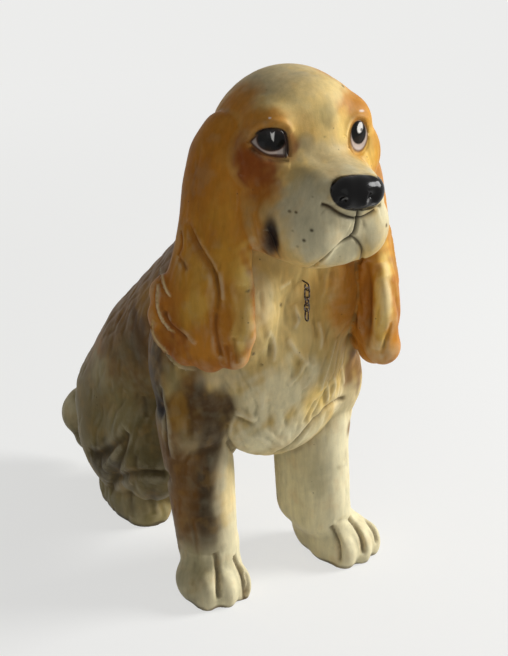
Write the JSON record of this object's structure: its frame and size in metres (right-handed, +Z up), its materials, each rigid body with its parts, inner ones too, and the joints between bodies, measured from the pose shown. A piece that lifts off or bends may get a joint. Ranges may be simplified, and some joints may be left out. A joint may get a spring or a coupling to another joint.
{
  "type": "porcelain dog figurine",
  "caption": "Seated long-eared spaniel puppy figurine in painted satin porcelain, with a short loose wire chain on its chest.",
  "frame": {"origin": "middle of the footprint's box, on the surface that the dog stands on", "axes": "+Z up, -Y the way the dog faces, -X the dog's right side"},
  "size_m": [0.0804, 0.1574, 0.1673],
  "materials": {
    "cream_bisque": "satin bisque porcelain, cream to grey",
    "amber_bisque": "satin bisque porcelain, airbrushed amber",
    "umber_bisque": "satin bisque porcelain, airbrushed brown",
    "dark_wire": "tarnished dark wire"
  },
  "bodies": {
    "porcelain": {"body_casting": "cream_bisque", "head_casting": "cream_bisque", "right_ear": "amber_bisque", "left_ear": "amber_bisque", "right_foreleg": "cream_bisque", "left_foreleg": "cream_bisque", "right_hind_foot": "umber_bisque", "left_hind_foot": "umber_bisque", "tail": "umber_bisque", "chest_eyelet": "dark_wire"},
    "chain_link_1": {"chain_link_1": "dark_wire"},
    "chain_link_2": {"chain_link_2": "dark_wire"},
    "chain_link_3": {"chain_link_3": "dark_wire"},
    "chain_link_4": {"chain_link_4": "dark_wire"}
  },
  "joints": [
    {"name": "link_1_sway", "type": "hinge", "parent": "porcelain", "child": "chain_link_1", "pos_m": [0.00179, -0.04995, 0.1034], "axis": [0, 1, 0], "range_deg": [-25, 25]},
    {"name": "link_2_swing", "type": "hinge", "parent": "chain_link_1", "child": "chain_link_2", "pos_m": [0.00179, -0.04995, 0.1004], "axis": [-1, 0, 0], "range_deg": [0, 60]},
    {"name": "link_3_sway", "type": "hinge", "parent": "chain_link_2", "child": "chain_link_3", "pos_m": [0.00179, -0.04995, 0.0986], "axis": [0, 1, 0], "range_deg": [-25, 25]},
    {"name": "link_4_swing", "type": "hinge", "parent": "chain_link_3", "child": "chain_link_4", "pos_m": [0.00179, -0.04995, 0.0968], "axis": [-1, 0, 0], "range_deg": [0, 60]}
  ]
}
